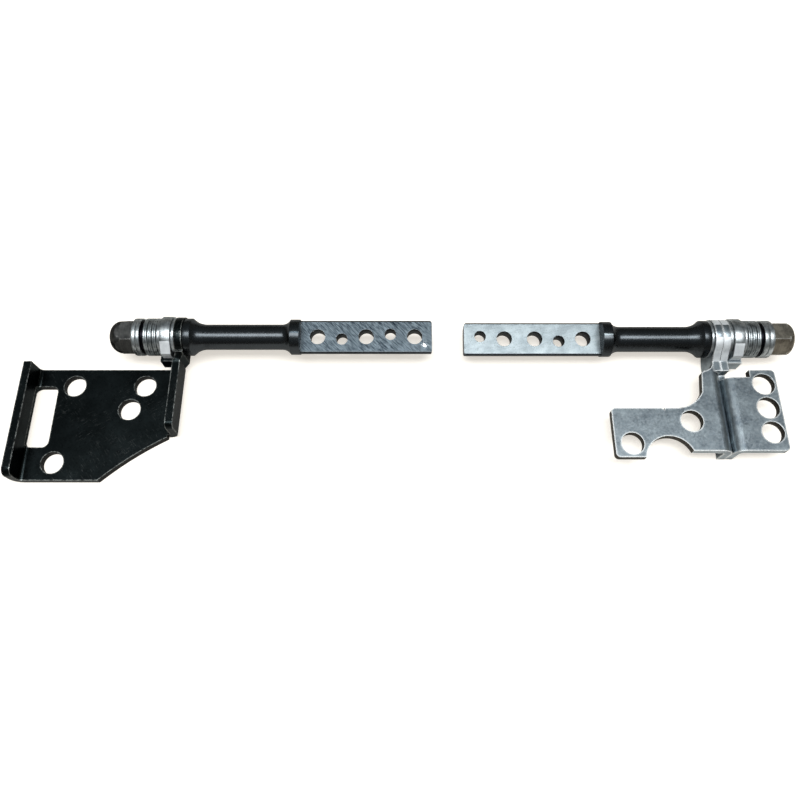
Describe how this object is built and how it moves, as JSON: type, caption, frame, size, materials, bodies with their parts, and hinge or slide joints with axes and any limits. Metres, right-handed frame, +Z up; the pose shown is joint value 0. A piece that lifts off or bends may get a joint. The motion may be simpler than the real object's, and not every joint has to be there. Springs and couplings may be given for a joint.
{
  "type": "pair of laptop hinges",
  "caption": "Pair of laptop friction hinges: folded steel brackets for the base, and drilled flat bars for the screen that turn in a stack of disc springs under a nut.",
  "frame": {"origin": "on the table, at the middle of the outline of the pair seen from above", "axes": "+X along both hinge axes to the right, +Y to the back, from the brackets to the hinge axis, +Z up"},
  "size_m": [0.1102, 0.0233, 0.0074],
  "materials": {
    "black_sheet": "glossy black zinc plating with light scratches",
    "zinc_sheet": "bluish grey zinc plating, slightly mottled",
    "left_shaft": "black plated steel with ground flats",
    "right_shaft": "black plated steel with ground flats",
    "dark_ring": "black oiled ring",
    "dark_nut": "dark grey plating",
    "bright_nut": "bright plating",
    "spring_steel": "bright spring steel",
    "bright_washer": "bright greased steel"
  },
  "bodies": {
    "brackets": {"left_bracket": "black_sheet", "left_friction_washer": "bright_washer", "right_inner_bracket": "zinc_sheet", "right_outer_bracket": "zinc_sheet", "right_thrust_washer": "bright_washer", "right_friction_washer": "bright_washer"},
    "left_arm": {"left_shaft": "left_shaft", "left_stop_washer": "bright_washer", "left_pressure_washer": "bright_washer", "left_disc_spring_1": "spring_steel", "left_disc_spring_2": "spring_steel", "left_disc_spring_3": "spring_steel", "left_disc_spring_4": "spring_steel", "left_disc_spring_5": "spring_steel", "left_disc_spring_6": "spring_steel", "left_spacer_ring": "dark_ring", "left_end_washer_1": "bright_washer", "left_end_washer_2": "bright_washer", "left_nut": "dark_nut"},
    "right_arm": {"right_shaft": "right_shaft", "right_stop_washer": "bright_washer", "right_pressure_washer": "bright_washer", "right_disc_spring_1": "spring_steel", "right_disc_spring_2": "spring_steel", "right_disc_spring_3": "spring_steel", "right_disc_spring_4": "spring_steel", "right_disc_spring_5": "spring_steel", "right_disc_spring_6": "spring_steel", "right_spacer_ring": "dark_ring", "right_end_washer_1": "bright_washer", "right_end_washer_2": "bright_washer", "right_nut": "bright_nut"}
  },
  "joints": [
    {"name": "left_lid_hinge", "type": "hinge", "parent": "brackets", "child": "left_arm", "pos_m": [-0.0067, 0.00877, 0.0045], "axis": [-1, 0, 0], "range_deg": [0, 150]},
    {"name": "right_lid_hinge", "type": "hinge", "parent": "brackets", "child": "right_arm", "pos_m": [0.01795, 0.00877, 0.0038], "axis": [-1, 0, 0], "range_deg": [0, 150]}
  ]
}
